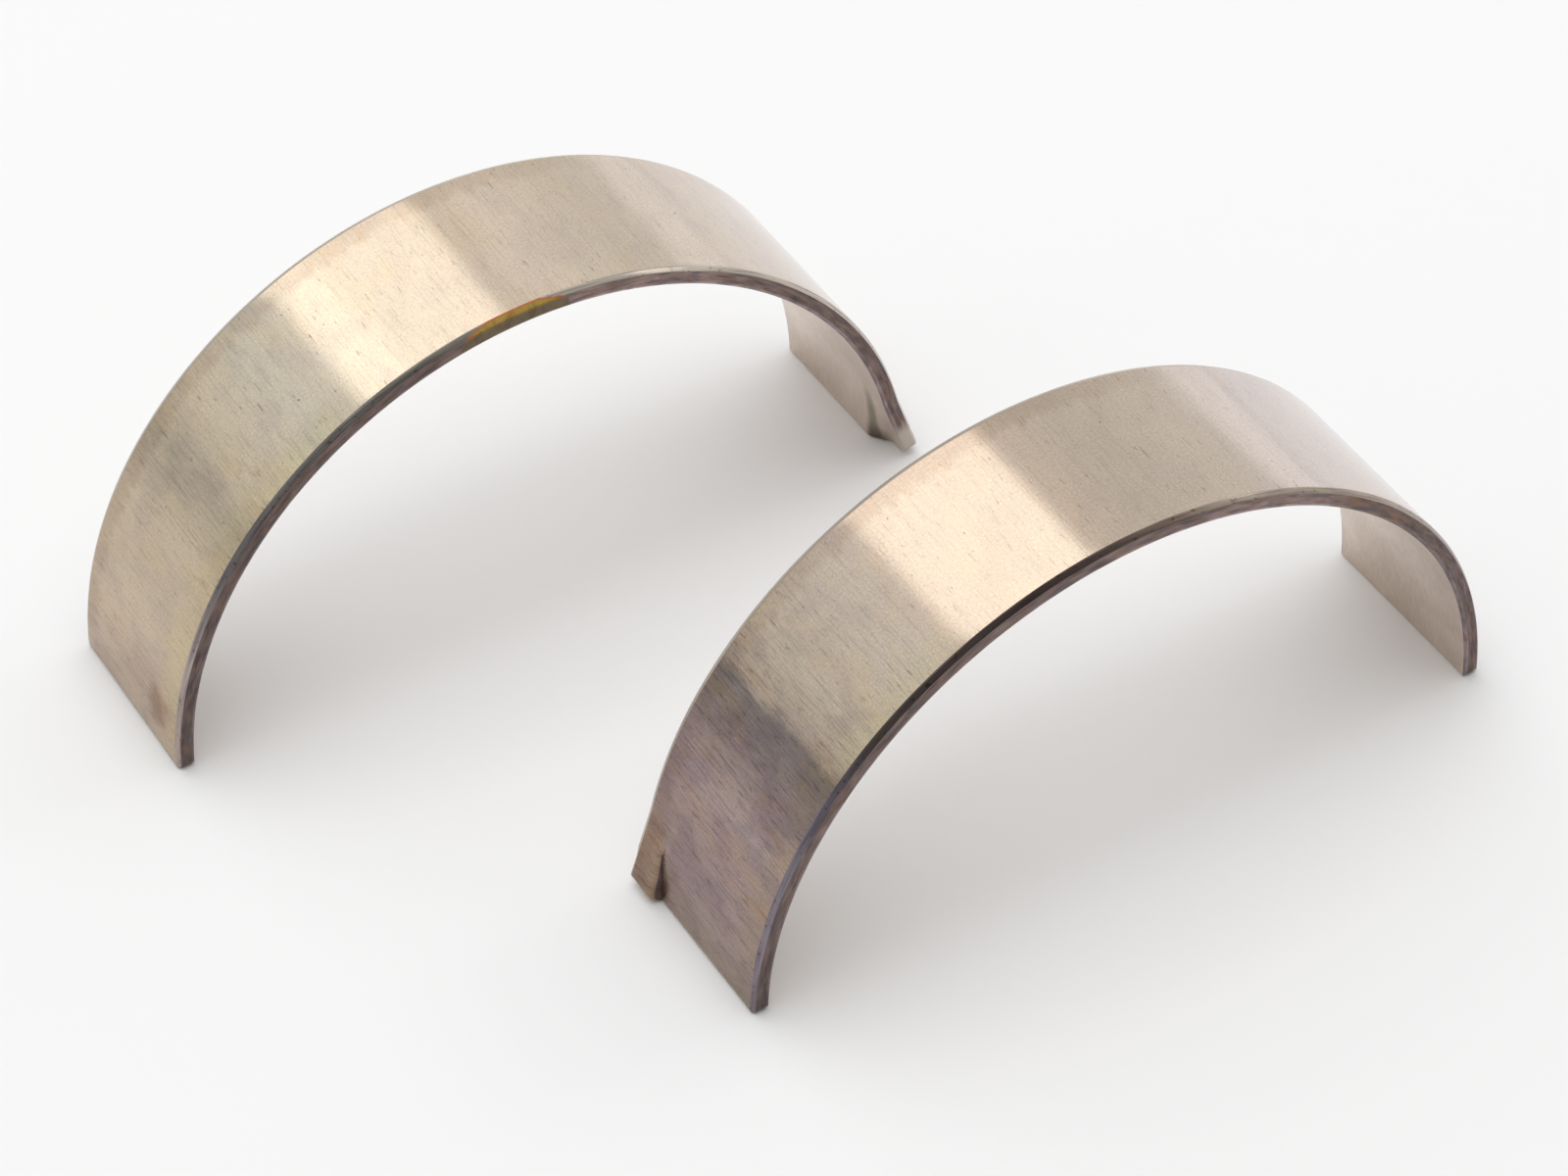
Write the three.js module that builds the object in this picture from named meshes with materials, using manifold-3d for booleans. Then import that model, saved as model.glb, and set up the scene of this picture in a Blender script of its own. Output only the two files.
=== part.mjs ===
// A pair of thin-wall plain-bearing half shells for a crank journal, standing on their parting faces.
// Millimetres, +Z up, +Y along both bearing axes. The origin lies on the standing plane, midway
// between the two shells, and the pair looks the same after half a turn about +Z.
// Each shell is bimetal: a rolled steel back with a bearing-alloy lining bonded into its bore.
// At one end of its arc a strip of the wall is sheared free and pressed outwards as a locating tang.

import * as THREE from "three";
import { mergeVertices } from "three/addons/utils/BufferGeometryUtils.js";
import Module from "manifold-3d";

// Driving dimensions of one shell.
const BACK_RADIUS = 35.0; // outside of the steel back, which seats in the housing bore
const STEEL_THICKNESS = 1.2;
const LINING_THICKNESS = 0.3;
const SHELL_WIDTH = 17.2; // along the bearing axis
const PARTING_HEIGHT = 0.8; // the parting faces lie this far above the bearing axis

// Edge breaks.
const END_CHAMFER_RADIAL = 0.3; // on the steel back, at both end faces
const END_CHAMFER_AXIAL = 0.45;
const BORE_CHAMFER = 0.15; // on the lining, at both end faces
const JOINT_CHAMFER_OUTER = 0.35; // on the steel back, at both parting faces
const JOINT_CHAMFER_PAST_LINING = 0.1; // the parting faces' inner chamfer runs this far into the steel

// Locating tang: the strip next to one end face leaves the arc here and runs on straight.
const TANG_WIDTH = 3.6;
const TANG_START = THREE.MathUtils.degToRad(18); // above the bearing axis
const TANG_END_CLEARANCE = 0.1; // the tang stops this far short of the parting plane

// How the two shells stand.
const SHELL_SPACING = 46.5; // between their middles, along the bearing axes
const SHELL_STAGGER = 26.1; // sideways, between the two bearing axes

const ARC_STEPS = 144; // flats round a whole turn
const CUT_MARGIN = 2.0; // how far a cutting block runs past what it cuts

const BOND_RADIUS = BACK_RADIUS - STEEL_THICKNESS; // where the lining is bonded to the steel
const BORE_RADIUS = BOND_RADIUS - LINING_THICKNESS;
const HALF_WIDTH = SHELL_WIDTH / 2;
const TANG_SHEAR_PLANE = TANG_WIDTH - HALF_WIDTH; // the tang runs from -HALF_WIDTH to here

const wasm = await Module();
wasm.setup();

function toSolid(geometry) {
  const bare = geometry.clone();
  bare.deleteAttribute("normal");
  bare.deleteAttribute("uv");
  const merged = mergeVertices(bare);
  return new wasm.Manifold(
    new wasm.Mesh({
      numProp: 3,
      vertProperties: merged.attributes.position.array,
      triVerts: Uint32Array.from(merged.index.array),
    }),
  );
}

function toGeometry(solid) {
  const mesh = solid.getMesh();
  const geometry = new THREE.BufferGeometry();
  geometry.setAttribute("position", new THREE.BufferAttribute(mesh.vertProperties, mesh.numProp));
  geometry.setIndex(new THREE.BufferAttribute(mesh.triVerts, 1));
  const faceted = geometry.toNonIndexed();
  faceted.computeVertexNormals();
  return faceted;
}

// A whole ring about the bearing axis, from its section as [radius, y] corners.
function ring(corners) {
  const section = [...corners, corners[0]].map(([radius, y]) => new THREE.Vector2(radius, y));
  return toSolid(new THREE.LatheGeometry(section, ARC_STEPS));
}

// A prism along the bearing axis between two y values, from its outline as [x, z] corners.
function prism(corners, yLow, yHigh) {
  const outline = new THREE.Shape(corners.map(([x, z]) => new THREE.Vector2(x, z)));
  const block = new THREE.ExtrudeGeometry(outline, { depth: yHigh - yLow, bevelEnabled: false });
  return toSolid(block.rotateX(Math.PI / 2).translate(0, yHigh, 0));
}

// Everything above the parting plane.
function aboveParting() {
  const reach = BACK_RADIUS + CUT_MARGIN;
  const corners = [
    [-reach, PARTING_HEIGHT],
    [reach, PARTING_HEIGHT],
    [reach, PARTING_HEIGHT + reach],
    [-reach, PARTING_HEIGHT + reach],
  ];
  return prism(corners, -HALF_WIDTH - CUT_MARGIN, HALF_WIDTH + CUT_MARGIN);
}

// A triangular cut along one long edge of a parting face: a 45 degree chamfer on both feet.
function jointChamfers(edgeRadius, size, outwards) {
  const edge = Math.sqrt(edgeRadius ** 2 - PARTING_HEIGHT ** 2);
  const past = CUT_MARGIN / 2;
  const cuts = [1, -1].map((side) => {
    const corners = [
      [side * (edge - outwards * (size + past)), PARTING_HEIGHT - past],
      [side * (edge + outwards * past), PARTING_HEIGHT - past],
      [side * (edge + outwards * past), PARTING_HEIGHT + size + past],
    ];
    return prism(corners, -HALF_WIDTH - CUT_MARGIN, HALF_WIDTH + CUT_MARGIN);
  });
  return cuts[0].add(cuts[1]);
}

// The piece of the arc that the tang takes the place of.
function tangSector() {
  const reach = BACK_RADIUS + CUT_MARGIN;
  const corners = [
    [0, 0],
    [reach, -CUT_MARGIN],
    [reach, reach * Math.tan(TANG_START)],
  ];
  return prism(corners, -HALF_WIDTH - CUT_MARGIN, TANG_SHEAR_PLANE);
}

// The tang's share of one layer: a straight strip, tangent to the arc, with a square end.
function tangStrip(outerRadius, innerRadius) {
  const rise = BORE_RADIUS * Math.sin(TANG_START) - PARTING_HEIGHT - TANG_END_CLEARANCE;
  const length = rise / Math.cos(TANG_START);
  const along = ([radius, distance]) => [
    radius * Math.cos(TANG_START) + distance * Math.sin(TANG_START),
    radius * Math.sin(TANG_START) - distance * Math.cos(TANG_START),
  ];
  const corners = [
    [innerRadius, 0],
    [innerRadius, length],
    [outerRadius, length],
    [outerRadius, 0],
  ];
  return prism(corners.map(along), -HALF_WIDTH, TANG_SHEAR_PLANE);
}

// One bonded layer, cut to the arc, with its share of the tang. Its feet stand on z = 0.
function layer(section, outerRadius, innerRadius) {
  const arc = ring(section).intersect(aboveParting()).subtract(tangSector());
  const innerChamfer = LINING_THICKNESS + JOINT_CHAMFER_PAST_LINING;
  const chamfered = arc
    .subtract(jointChamfers(BACK_RADIUS, JOINT_CHAMFER_OUTER, 1))
    .subtract(jointChamfers(BORE_RADIUS, innerChamfer, -1));
  const whole = chamfered.add(tangStrip(outerRadius, innerRadius));
  return toGeometry(whole).translate(0, 0, -PARTING_HEIGHT);
}

function steelBack() {
  const section = [
    [BOND_RADIUS, -HALF_WIDTH],
    [BACK_RADIUS - END_CHAMFER_RADIAL, -HALF_WIDTH],
    [BACK_RADIUS, -HALF_WIDTH + END_CHAMFER_AXIAL],
    [BACK_RADIUS, HALF_WIDTH - END_CHAMFER_AXIAL],
    [BACK_RADIUS - END_CHAMFER_RADIAL, HALF_WIDTH],
    [BOND_RADIUS, HALF_WIDTH],
  ];
  return layer(section, BACK_RADIUS, BOND_RADIUS);
}

function lining() {
  const section = [
    [BORE_RADIUS, -HALF_WIDTH + BORE_CHAMFER],
    [BORE_RADIUS + BORE_CHAMFER, -HALF_WIDTH],
    [BOND_RADIUS, -HALF_WIDTH],
    [BOND_RADIUS, HALF_WIDTH],
    [BORE_RADIUS + BORE_CHAMFER, HALF_WIDTH],
    [BORE_RADIUS, HALF_WIDTH - BORE_CHAMFER],
  ];
  return layer(section, BOND_RADIUS, BORE_RADIUS);
}

const tinnedSteel = new THREE.MeshStandardMaterial({ color: 0xc3b592, roughness: 0.38, metalness: 1 });
const bearingAlloy = new THREE.MeshStandardMaterial({ color: 0xb3a399, roughness: 0.55, metalness: 0.7 });

function halfShell(prefix) {
  const back = new THREE.Mesh(steelBack(), tinnedSteel.clone());
  back.name = `${prefix}_steel_back`;
  const bore = new THREE.Mesh(lining(), bearingAlloy.clone());
  bore.name = `${prefix}_lining`;
  const shell = new THREE.Group();
  shell.add(back, bore);
  return shell;
}

const rearShell = halfShell("rear");
rearShell.position.set(-SHELL_STAGGER / 2, SHELL_SPACING / 2, 0);

const frontShell = halfShell("front");
frontShell.position.set(SHELL_STAGGER / 2, -SHELL_SPACING / 2, 0);
frontShell.rotation.z = Math.PI;

const bearingPair = new THREE.Group();
bearingPair.add(rearShell, frontShell);

export default bearingPair;
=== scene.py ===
"""A loose pair of thin-wall plain-bearing half shells, standing on their parting faces.

Each shell is one strip of bimetal: a plated steel back with a bearing-alloy lining in its bore. A
Geometry Nodes tree rolls a strip's section into the half round, and a press step in mesh code then
shears the locating tang free at one foot and bends it outwards. Shape sizes are in millimetres until
a piece's mesh is made; everything placed in the scene is in metres.
"""

import math

import bmesh
import bpy
import numpy as np
from mathutils import Matrix, Vector


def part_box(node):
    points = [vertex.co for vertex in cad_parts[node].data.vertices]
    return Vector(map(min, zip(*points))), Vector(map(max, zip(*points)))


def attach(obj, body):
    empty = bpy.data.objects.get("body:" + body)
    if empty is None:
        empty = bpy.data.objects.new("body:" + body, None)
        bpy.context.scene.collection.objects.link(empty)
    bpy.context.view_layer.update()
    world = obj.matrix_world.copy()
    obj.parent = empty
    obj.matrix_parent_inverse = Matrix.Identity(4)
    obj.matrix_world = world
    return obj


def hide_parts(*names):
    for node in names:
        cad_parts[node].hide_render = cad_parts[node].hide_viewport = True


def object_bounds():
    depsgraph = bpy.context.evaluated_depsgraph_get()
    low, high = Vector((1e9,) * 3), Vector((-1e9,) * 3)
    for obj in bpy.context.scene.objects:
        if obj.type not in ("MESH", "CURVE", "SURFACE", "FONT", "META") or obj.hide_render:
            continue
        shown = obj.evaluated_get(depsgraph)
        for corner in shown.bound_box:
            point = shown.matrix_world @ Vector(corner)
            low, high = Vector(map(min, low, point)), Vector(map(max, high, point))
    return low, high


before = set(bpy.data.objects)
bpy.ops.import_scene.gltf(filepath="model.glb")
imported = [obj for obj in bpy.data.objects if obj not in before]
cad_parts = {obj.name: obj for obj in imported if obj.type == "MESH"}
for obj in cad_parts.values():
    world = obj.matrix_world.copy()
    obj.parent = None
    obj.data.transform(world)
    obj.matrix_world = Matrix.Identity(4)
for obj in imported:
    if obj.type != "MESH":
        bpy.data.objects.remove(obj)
cad_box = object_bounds()

MM = 0.001

# One shell, in millimetres. Its radius and width come from the frame.
PARTING_HEIGHT = 0.8  # the parting faces lie this far above the bearing axis
STEEL_THICKNESS = 1.2
LINING_THICKNESS = 0.3
END_BREAK = (0.45, 0.25)  # on the back's outside at both end faces: along the axis, radially
BORE_BREAK = (0.15, 0.15)  # the same on the lining's inside
BREAK_EASING = 0.09  # the corners of a break are rounded over this distance
SUPPORT_SPACING = 1.5  # an end face's own line lies this many easings below the break
FOOT_ROUND_OUTER = 0.45
FOOT_ROUND_INNER = 0.27
FOOT_ROUND_CORNER = 0.7  # where an end face meets a foot
SHARP_EDGE = math.radians(40)

# The locating tang, in millimetres and in degrees above the bearing axis.
TANG_START = 14.5  # the strip leaves the arc here
TANG_KINK = 4.0  # it leans out this much further than the arc's tangent, and runs on straight
TANG_KINK_LENGTH = 1.6  # the lean is reached over this distance
TANG_CLEARANCE = 0.1  # the tang's end stays this far above the parting plane
TANG_EDGE = 3.1  # the shear line's middle, from the end face
# The shear on the back: where it starts, its distance from the end face there and at the foot, and
# how far it is from square to the wall. In the bore the wall is drawn out into a slope instead.
BACK_TEAR = (9.85, 2.95, 3.4, 0.06)
BORE_TEAR = (13.5, 2.9, 3.4, 1.6)
TEAR_ROUND = 0.5  # the tang's own corner beside the shear is dragged round over this distance
TEAR_ROUND_SHARE = 0.7  # or over this share of its travel, where that is less
TIP_ROUND = 0.7  # near its end the tang's corner at the end face is worn to this radius
TIP_RISE = (9.0, 5.0)  # the wear grows between these angles above the bearing axis
TIP_END_ROUND = 0.95  # the tang's outer corner at its end
TIP_FACE_ROUND = 1.2  # its corner at its end, seen square to the wall
BEND_WIDTH = 1.3  # above the shear the wall is only bent, over this width
TEAR_HOLD = 0.3  # lines this close to the shear are drawn aside with it
TEAR_REACH = 2.7  # and those this far away stay
WALL_LEFT = 0.15  # the least steel between the two sheared corners
LINING_LEFT = 0.1
BEND_STEPS = 400  # points along the tang's bend, in its own calculation
TEAR_OFFSETS = (0.03, 0.09, 0.18, 0.3, 0.45, 0.65, 0.9, 1.2, 1.6, 2.1)  # lines beside the shear

ROLL_STEPS = 240
STATION_STEP = 1.1  # between lines along the plain part of the strip


def crown_of(node):
    """The middle of a steel back's highest line, which lies straight above its bearing axis."""
    points = np.array([vertex.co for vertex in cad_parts[node].data.vertices])
    highest = points[:, 2].max()
    line = points[points[:, 2] > highest - 0.001 * MM]
    return Vector((line.min(0) + line.max(0)) / 2)


back_low, back_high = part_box("rear_steel_back")
HALF_WIDTH = (back_high.y - back_low.y) / 2 / MM
BACK_RADIUS = crown_of("rear_steel_back").z / MM + PARTING_HEIGHT
BOND_RADIUS = BACK_RADIUS - STEEL_THICKNESS
BORE_RADIUS = BOND_RADIUS - LINING_THICKNESS
SHEAR_LINE = TANG_EDGE - HALF_WIDTH


class Tree:
    """A node tree being written: it adds nodes, and joins sockets or sets plain values."""

    def __init__(self, tree):
        self.tree = tree

    def feed(self, socket, value):
        if isinstance(value, bpy.types.NodeSocket):
            self.tree.links.new(value, socket)
        else:
            socket.default_value = value

    def add(self, kind, inputs=None, **settings):
        node = self.tree.nodes.new(kind)
        for name, value in settings.items():
            setattr(node, name, value)
        for key, value in (inputs or {}).items():
            self.feed(node.inputs[key], value)
        return node

    def math(self, operation, *values):
        node = self.add("ShaderNodeMath", dict(enumerate(values)), operation=operation)
        return node.outputs[0]

    def split(self, vector):
        return self.add("ShaderNodeSeparateXYZ", {0: vector}).outputs

    def join(self, x, y, z):
        return self.add("ShaderNodeCombineXYZ", {0: x, 1: y, 2: z}).outputs[0]


# ---------------------------------------------------------------- the rolled strip


def rounded_break(axial, radial):
    """An edge break with eased corners, as (distance in from the end face, depth) points."""
    support = (0.0, radial + SUPPORT_SPACING * BREAK_EASING)
    start, corner_low, corner_high = (0.0, radial + BREAK_EASING), (0.0, radial), (axial, 0.0)
    slope = math.hypot(axial, radial)
    along = (axial / slope * BREAK_EASING, -radial / slope * BREAK_EASING)
    after_low = (along[0], radial + along[1])
    before_high = (axial - along[0], -along[1])
    end = (axial + BREAK_EASING, 0.0)
    return [support, *eased(start, corner_low, after_low), *eased(before_high, corner_high, end)]


def eased(start, corner, end, steps=4):
    """A corner drawn as a short parabola between its two sides."""
    points = []
    for t in np.linspace(0, 1, steps + 1):
        weights = ((1 - t) ** 2, 2 * t * (1 - t), t**2)
        points.append(tuple(np.dot(weights, axis) for axis in zip(start, corner, end)))
    return points


def plain_stations(clear):
    """Lines along the strip between its edge breaks: close together beside the tang's shear."""
    beside = [SHEAR_LINE + side * offset for offset in TEAR_OFFSETS for side in (-1, 1)]
    limit = HALF_WIDTH - clear
    first = max(beside)
    count = math.ceil((limit - first) / STATION_STEP)
    rest = np.linspace(first, limit, count + 1)[1:-1]
    return sorted([*beside, SHEAR_LINE, *rest])


BACK_EDGE = rounded_break(*END_BREAK)
BORE_EDGE = rounded_break(*BORE_BREAK)
STATIONS = plain_stations(END_BREAK[0] + 2 * BREAK_EASING)


def chain(edge, radius, inwards):
    """One side of a strip's section from the front end face to the rear one, as (y, radius)."""
    front = [(inset - HALF_WIDTH, radius + inwards * depth) for inset, depth in edge]
    rear = [(HALF_WIDTH - inset, radius + inwards * depth) for inset, depth in reversed(edge)]
    return [*front, *((y, radius) for y in STATIONS), *rear]


def bond_chain():
    """The bond line has no breaks, but it has as many points as the two visible sides."""
    insets = np.linspace(0, BACK_EDGE[-1][0], len(BACK_EDGE))
    return chain([(inset, 0.0) for inset in insets], BOND_RADIUS, 0)


CHAIN_LENGTH = len(bond_chain())
SECTION_LENGTH = 2 * CHAIN_LENGTH


def section_object(name, inner, outer):
    """A closed section as a wire: along the inner side, and back along the outer one."""
    loop = [*inner, *reversed(outer)]
    edges = [(i, (i + 1) % len(loop)) for i in range(len(loop))]
    wire = bpy.data.meshes.new(name)
    wire.from_pydata([(y, radius, 0.0) for y, radius in loop], edges, [])
    return bpy.data.objects.new(name, wire)


def foot_round(tree, height, size):
    """How far a quarter round of that size has cut in, at a height above the parting plane."""
    below = tree.math("MAXIMUM", tree.math("SUBTRACT", size, height), 0.0)
    squared = tree.math("SUBTRACT", tree.math("POWER", size, 2.0), tree.math("POWER", below, 2.0))
    return tree.math("SUBTRACT", size, tree.math("SQRT", tree.math("MAXIMUM", squared, 0.0)))


ROLLING_INPUTS = [
    ("Section", "NodeSocketObject"),
    ("Steps", "NodeSocketInt"),
    ("Parting height", "NodeSocketFloat"),
    ("Outer radius", "NodeSocketFloat"),
    ("Inner radius", "NodeSocketFloat"),
    ("Half width", "NodeSocketFloat"),
    ("Outer foot round", "NodeSocketFloat"),
    ("Inner foot round", "NodeSocketFloat"),
    ("Corner foot round", "NodeSocketFloat"),
    ("Material", "NodeSocketMaterial"),
]


def rolling_tree():
    """Sweeps a section along a straight line and rolls it into a half round with rounded feet."""
    group = bpy.data.node_groups.new("rolled_strip", "GeometryNodeTree")
    for name, kind in ROLLING_INPUTS:
        group.interface.new_socket(name, in_out="INPUT", socket_type=kind)
    group.interface.new_socket("Geometry", in_out="OUTPUT", socket_type="NodeSocketGeometry")
    tree = Tree(group)
    given = tree.add("NodeGroupInput").outputs
    strip = swept_strip(tree, given)
    place, strip_coordinates = rolled_place(tree, given)
    stored = {"Geometry": strip, "Name": "strip", "Value": strip_coordinates}
    marked = tree.add("GeometryNodeStoreNamedAttribute", stored, data_type="FLOAT_VECTOR")
    roll = {"Geometry": marked.outputs[0], "Position": place}
    rolled = tree.add("GeometryNodeSetPosition", roll).outputs[0]
    whole = tree.add("GeometryNodeRealizeInstances", {"Geometry": rolled}).outputs[0]
    paint = {"Geometry": whole, "Material": given["Material"]}
    painted = tree.add("GeometryNodeSetMaterial", paint).outputs[0]
    tree.add("NodeGroupOutput", {"Geometry": painted})
    return group


def swept_strip(tree, given):
    """The section swept along a line from -1 to 1, with more rings towards the two feet."""
    ends = {"Start": (-1.0, 0.0, 0.0), "End": (1.0, 0.0, 0.0)}
    line = tree.add("GeometryNodeCurvePrimitiveLine", ends).outputs[0]
    count = tree.math("ADD", given["Steps"], 1)
    spaced = tree.add("GeometryNodeResampleCurve", {"Curve": line, "Count": count}).outputs[0]
    place = tree.split(tree.add("GeometryNodeInputPosition").outputs[0])
    crowded = tree.math("SINE", tree.math("MULTIPLY", place[0], math.pi / 2))
    move = {"Geometry": spaced, "Position": tree.join(crowded, 0.0, 0.0)}
    rail = tree.add("GeometryNodeSetPosition", move).outputs[0]
    wire = tree.add("GeometryNodeObjectInfo", {"Object": given["Section"]}).outputs["Geometry"]
    profile = tree.add("GeometryNodeMeshToCurve", {"Mesh": wire}).outputs[0]
    sweep = {"Curve": rail, "Profile Curve": profile}
    return tree.add("GeometryNodeCurveToMesh", sweep).outputs[0]


def rolled_place(tree, given):
    """Where a point of the straight strip goes, and its strip coordinates in millimetres: round
    the back, along the axis, into the wall. The sweep lays y and radius along -y and -z."""
    swept = tree.split(tree.add("GeometryNodeInputPosition").outputs[0])
    across = tree.math("MULTIPLY", swept[1], -1.0)
    radius = tree.math("MULTIPLY", swept[2], -1.0)
    drop = given["Parting height"]
    foot_angle = tree.math("ARCSINE", tree.math("DIVIDE", drop, radius))
    turn = tree.math("MULTIPLY", swept[0], tree.math("SUBTRACT", math.pi / 2, foot_angle))
    level = tree.math("MULTIPLY", radius, tree.math("COSINE", turn))
    height = tree.math("MAXIMUM", tree.math("SUBTRACT", level, drop), 0.0)
    outer_cut = foot_round(tree, height, given["Outer foot round"])
    inner_cut = foot_round(tree, height, given["Inner foot round"])
    corner_cut = foot_round(tree, height, given["Corner foot round"])
    outer_limit = tree.math("SUBTRACT", given["Outer radius"], outer_cut)
    inner_limit = tree.math("ADD", given["Inner radius"], inner_cut)
    side_limit = tree.math("SUBTRACT", given["Half width"], corner_cut)
    held_in = tree.math("MINIMUM", radius, outer_limit)
    trimmed = tree.math("MAXIMUM", held_in, inner_limit)
    side = tree.math("MINIMUM", across, side_limit)
    side = tree.math("MAXIMUM", side, tree.math("MULTIPLY", side_limit, -1.0))
    level = tree.math("ADD", height, drop)
    reach = tree.math("SUBTRACT", tree.math("POWER", trimmed, 2.0), tree.math("POWER", level, 2.0))
    reach = tree.math("MULTIPLY", tree.math("SQRT", reach), tree.math("SIGN", swept[0]))
    around = tree.math("MULTIPLY", turn, BACK_RADIUS)
    depth = tree.math("SUBTRACT", BACK_RADIUS, trimmed)
    return tree.join(reach, side, height), tree.join(around, side, depth)


def roll_strip(name, tree, values):
    """A new piece whose mesh is the rolling tree's result, still in millimetres."""
    piece = bpy.data.objects.new(name, bpy.data.meshes.new(name))
    bpy.context.scene.collection.objects.link(piece)
    roller = piece.modifiers.new("roller", "NODES")
    roller.node_group = tree
    for item in tree.interface.items_tree:
        if item.in_out == "INPUT":
            roller[item.identifier] = values[item.name]
    evaluated = piece.evaluated_get(bpy.context.evaluated_depsgraph_get())
    mesh = bpy.data.meshes.new_from_object(evaluated)
    piece.modifiers.clear()
    piece.data = mesh
    mesh.name = name
    return piece


# ---------------------------------------------------------------- the pressed tang


def smooth_step(value):
    t = np.clip(value, 0, 1)
    return t * t * (3 - 2 * t)


def shear_line(rise, tear):
    """Where the shear runs at an angle above the bearing axis, as a y value."""
    start, inset_there, inset_at_foot, _ = tear
    down = np.clip((start - rise) / start, 0, 1)
    return inset_there + (inset_at_foot - inset_there) * down - HALF_WIDTH


def drawn_aside(across, rise, tear):
    """How far the strip's lines beside the shear are moved along the axis, so that they follow it."""
    offset = np.abs(across - SHEAR_LINE)
    drawn = 1 - smooth_step((offset - TEAR_HOLD) / (TEAR_REACH - TEAR_HOLD))
    eased_in = smooth_step((TANG_START - rise) / (TANG_START - tear[0]))
    return (shear_line(rise, tear) - SHEAR_LINE) * drawn * eased_in


def share_pressed(across, rise, tear, travel):
    """How much of the tang's bend a point follows: all of it inside the shear, none past it."""
    start, slope = tear[0], tear[3]
    above = np.clip((rise - start) / (TANG_START - start), 0, 1)
    width = slope + (BEND_WIDTH - slope) * above
    past = across - shear_line(rise, tear)
    dragged = quarter_round(-past - width / 2, np.minimum(TEAR_ROUND, TEAR_ROUND_SHARE * travel))
    rounded = 1 - np.where(rise < start, dragged / travel, 0)
    return rounded * (1 - smooth_step(past / width + 0.5))


def quarter_round(distance, radius):
    """How far a rounded corner has fallen away at a distance from its face."""
    inside = np.clip(radius - np.maximum(distance, 0), 0, radius)
    return radius - np.sqrt(radius**2 - inside**2)


def tang_place(along, depth):
    """Where a point of the tang lies: along is 0 where it leaves the arc and 1 at its end."""
    longest = 1.2 * math.radians(TANG_START) * BACK_RADIUS
    distance = np.linspace(0, longest, BEND_STEPS)
    lean = np.radians(TANG_START + TANG_KINK * smooth_step(distance / TANG_KINK_LENGTH))
    start = math.radians(TANG_START)
    line_x = BACK_RADIUS * math.cos(start) + np.cumsum(np.sin(lean)) * distance[1]
    line_level = BACK_RADIUS * math.sin(start) - np.cumsum(np.cos(lean)) * distance[1]
    bore_level = line_level - (BACK_RADIUS - BORE_RADIUS) * np.sin(lean)
    length = np.interp(-PARTING_HEIGHT - TANG_CLEARANCE, -bore_level, distance)
    here = along * length
    leaning = np.interp(here, distance, lean)
    x = np.interp(here, distance, line_x) - depth * np.cos(leaning)
    return x, np.interp(here, distance, line_level) - depth * np.sin(leaning)


def wear_tip(x, y, level):
    """Rounds the tang's outer corner at its end, and the one at the front end face."""
    radius = np.hypot(x, level)
    limit = BACK_RADIUS - quarter_round(level - PARTING_HEIGHT, TIP_END_ROUND)
    past = (x > 0) & (y < SHEAR_LINE) & (radius > limit)
    radius = np.where(past, limit, radius)
    x[:] = np.sign(x) * np.sqrt(radius**2 - level**2)
    inset = quarter_round(level - PARTING_HEIGHT, TIP_FACE_ROUND)
    y[:] = np.where(x > 0, np.maximum(y, inset - HALF_WIDTH), y)

    rise = np.degrees(np.arctan2(level, x))
    grown = smooth_step((TIP_RISE[0] - rise) / (TIP_RISE[0] - TIP_RISE[1]))
    worn = np.where(x > 0, TIP_ROUND * grown, 0)
    aside = worn - (y + HALF_WIDTH)
    inwards = worn - (BACK_RADIUS - radius)
    distance = np.hypot(aside, inwards)
    corner = (aside > 0) & (inwards > 0) & (distance > worn)
    scale = np.where(corner, worn / np.maximum(distance, 1e-6), 1)
    y[:] = worn - scale * aside - HALF_WIDTH
    rounded = BACK_RADIUS - (worn - scale * inwards)
    x *= rounded / radius
    level *= rounded / radius


def press_tang(mesh, tears, allowed):
    """Bends the strip beside the front end face outwards at the +X foot, until it is straight.

    tears holds the shear that the section's inner and outer sides follow, and allowed how far each
    may go where the back hasn't been sheared through."""
    points = np.empty(len(mesh.vertices) * 3)
    mesh.vertices.foreach_get("co", points)
    points = points.reshape(-1, SECTION_LENGTH, 3)
    x, y = points[..., 0], points[..., 1]
    level = points[..., 2] + PARTING_HEIGHT
    wear_tip(x, y, level)
    radius = np.hypot(x, level)
    rise = np.degrees(np.arctan2(level, x))
    foot = np.degrees(np.arcsin(PARTING_HEIGHT / radius))
    along = np.clip((TANG_START - rise) / (TANG_START - foot), 0, 1)
    straight_x, straight_level = tang_place(along, BACK_RADIUS - radius)
    travel = np.maximum(np.hypot(straight_x - x, straight_level - level), 1e-6)
    in_reach = (rise < TANG_START) & (x > 0)

    for side, (tear, limit) in enumerate(zip(tears, allowed)):
        rows = slice(side * CHAIN_LENGTH, (side + 1) * CHAIN_LENGTH)
        y[:, rows] += np.where(in_reach[:, rows], drawn_aside(y[:, rows], rise[:, rows], tear), 0)
        share = share_pressed(y[:, rows], rise[:, rows], tear, travel[:, rows])
        if limit is not None:
            beyond = y[:, rows] + WALL_LEFT
            outside = share_pressed(beyond, rise[:, rows], BACK_TEAR, travel[:, rows])
            share = np.minimum(share, limit / travel[:, rows] + outside)
        share = np.where(in_reach[:, rows], share, 0)
        x[:, rows] += share * (straight_x[:, rows] - x[:, rows])
        level[:, rows] += share * (straight_level[:, rows] - level[:, rows])
    points[..., 2] = level - PARTING_HEIGHT
    mesh.vertices.foreach_set("co", points.ravel())
    mesh.update()


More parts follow.
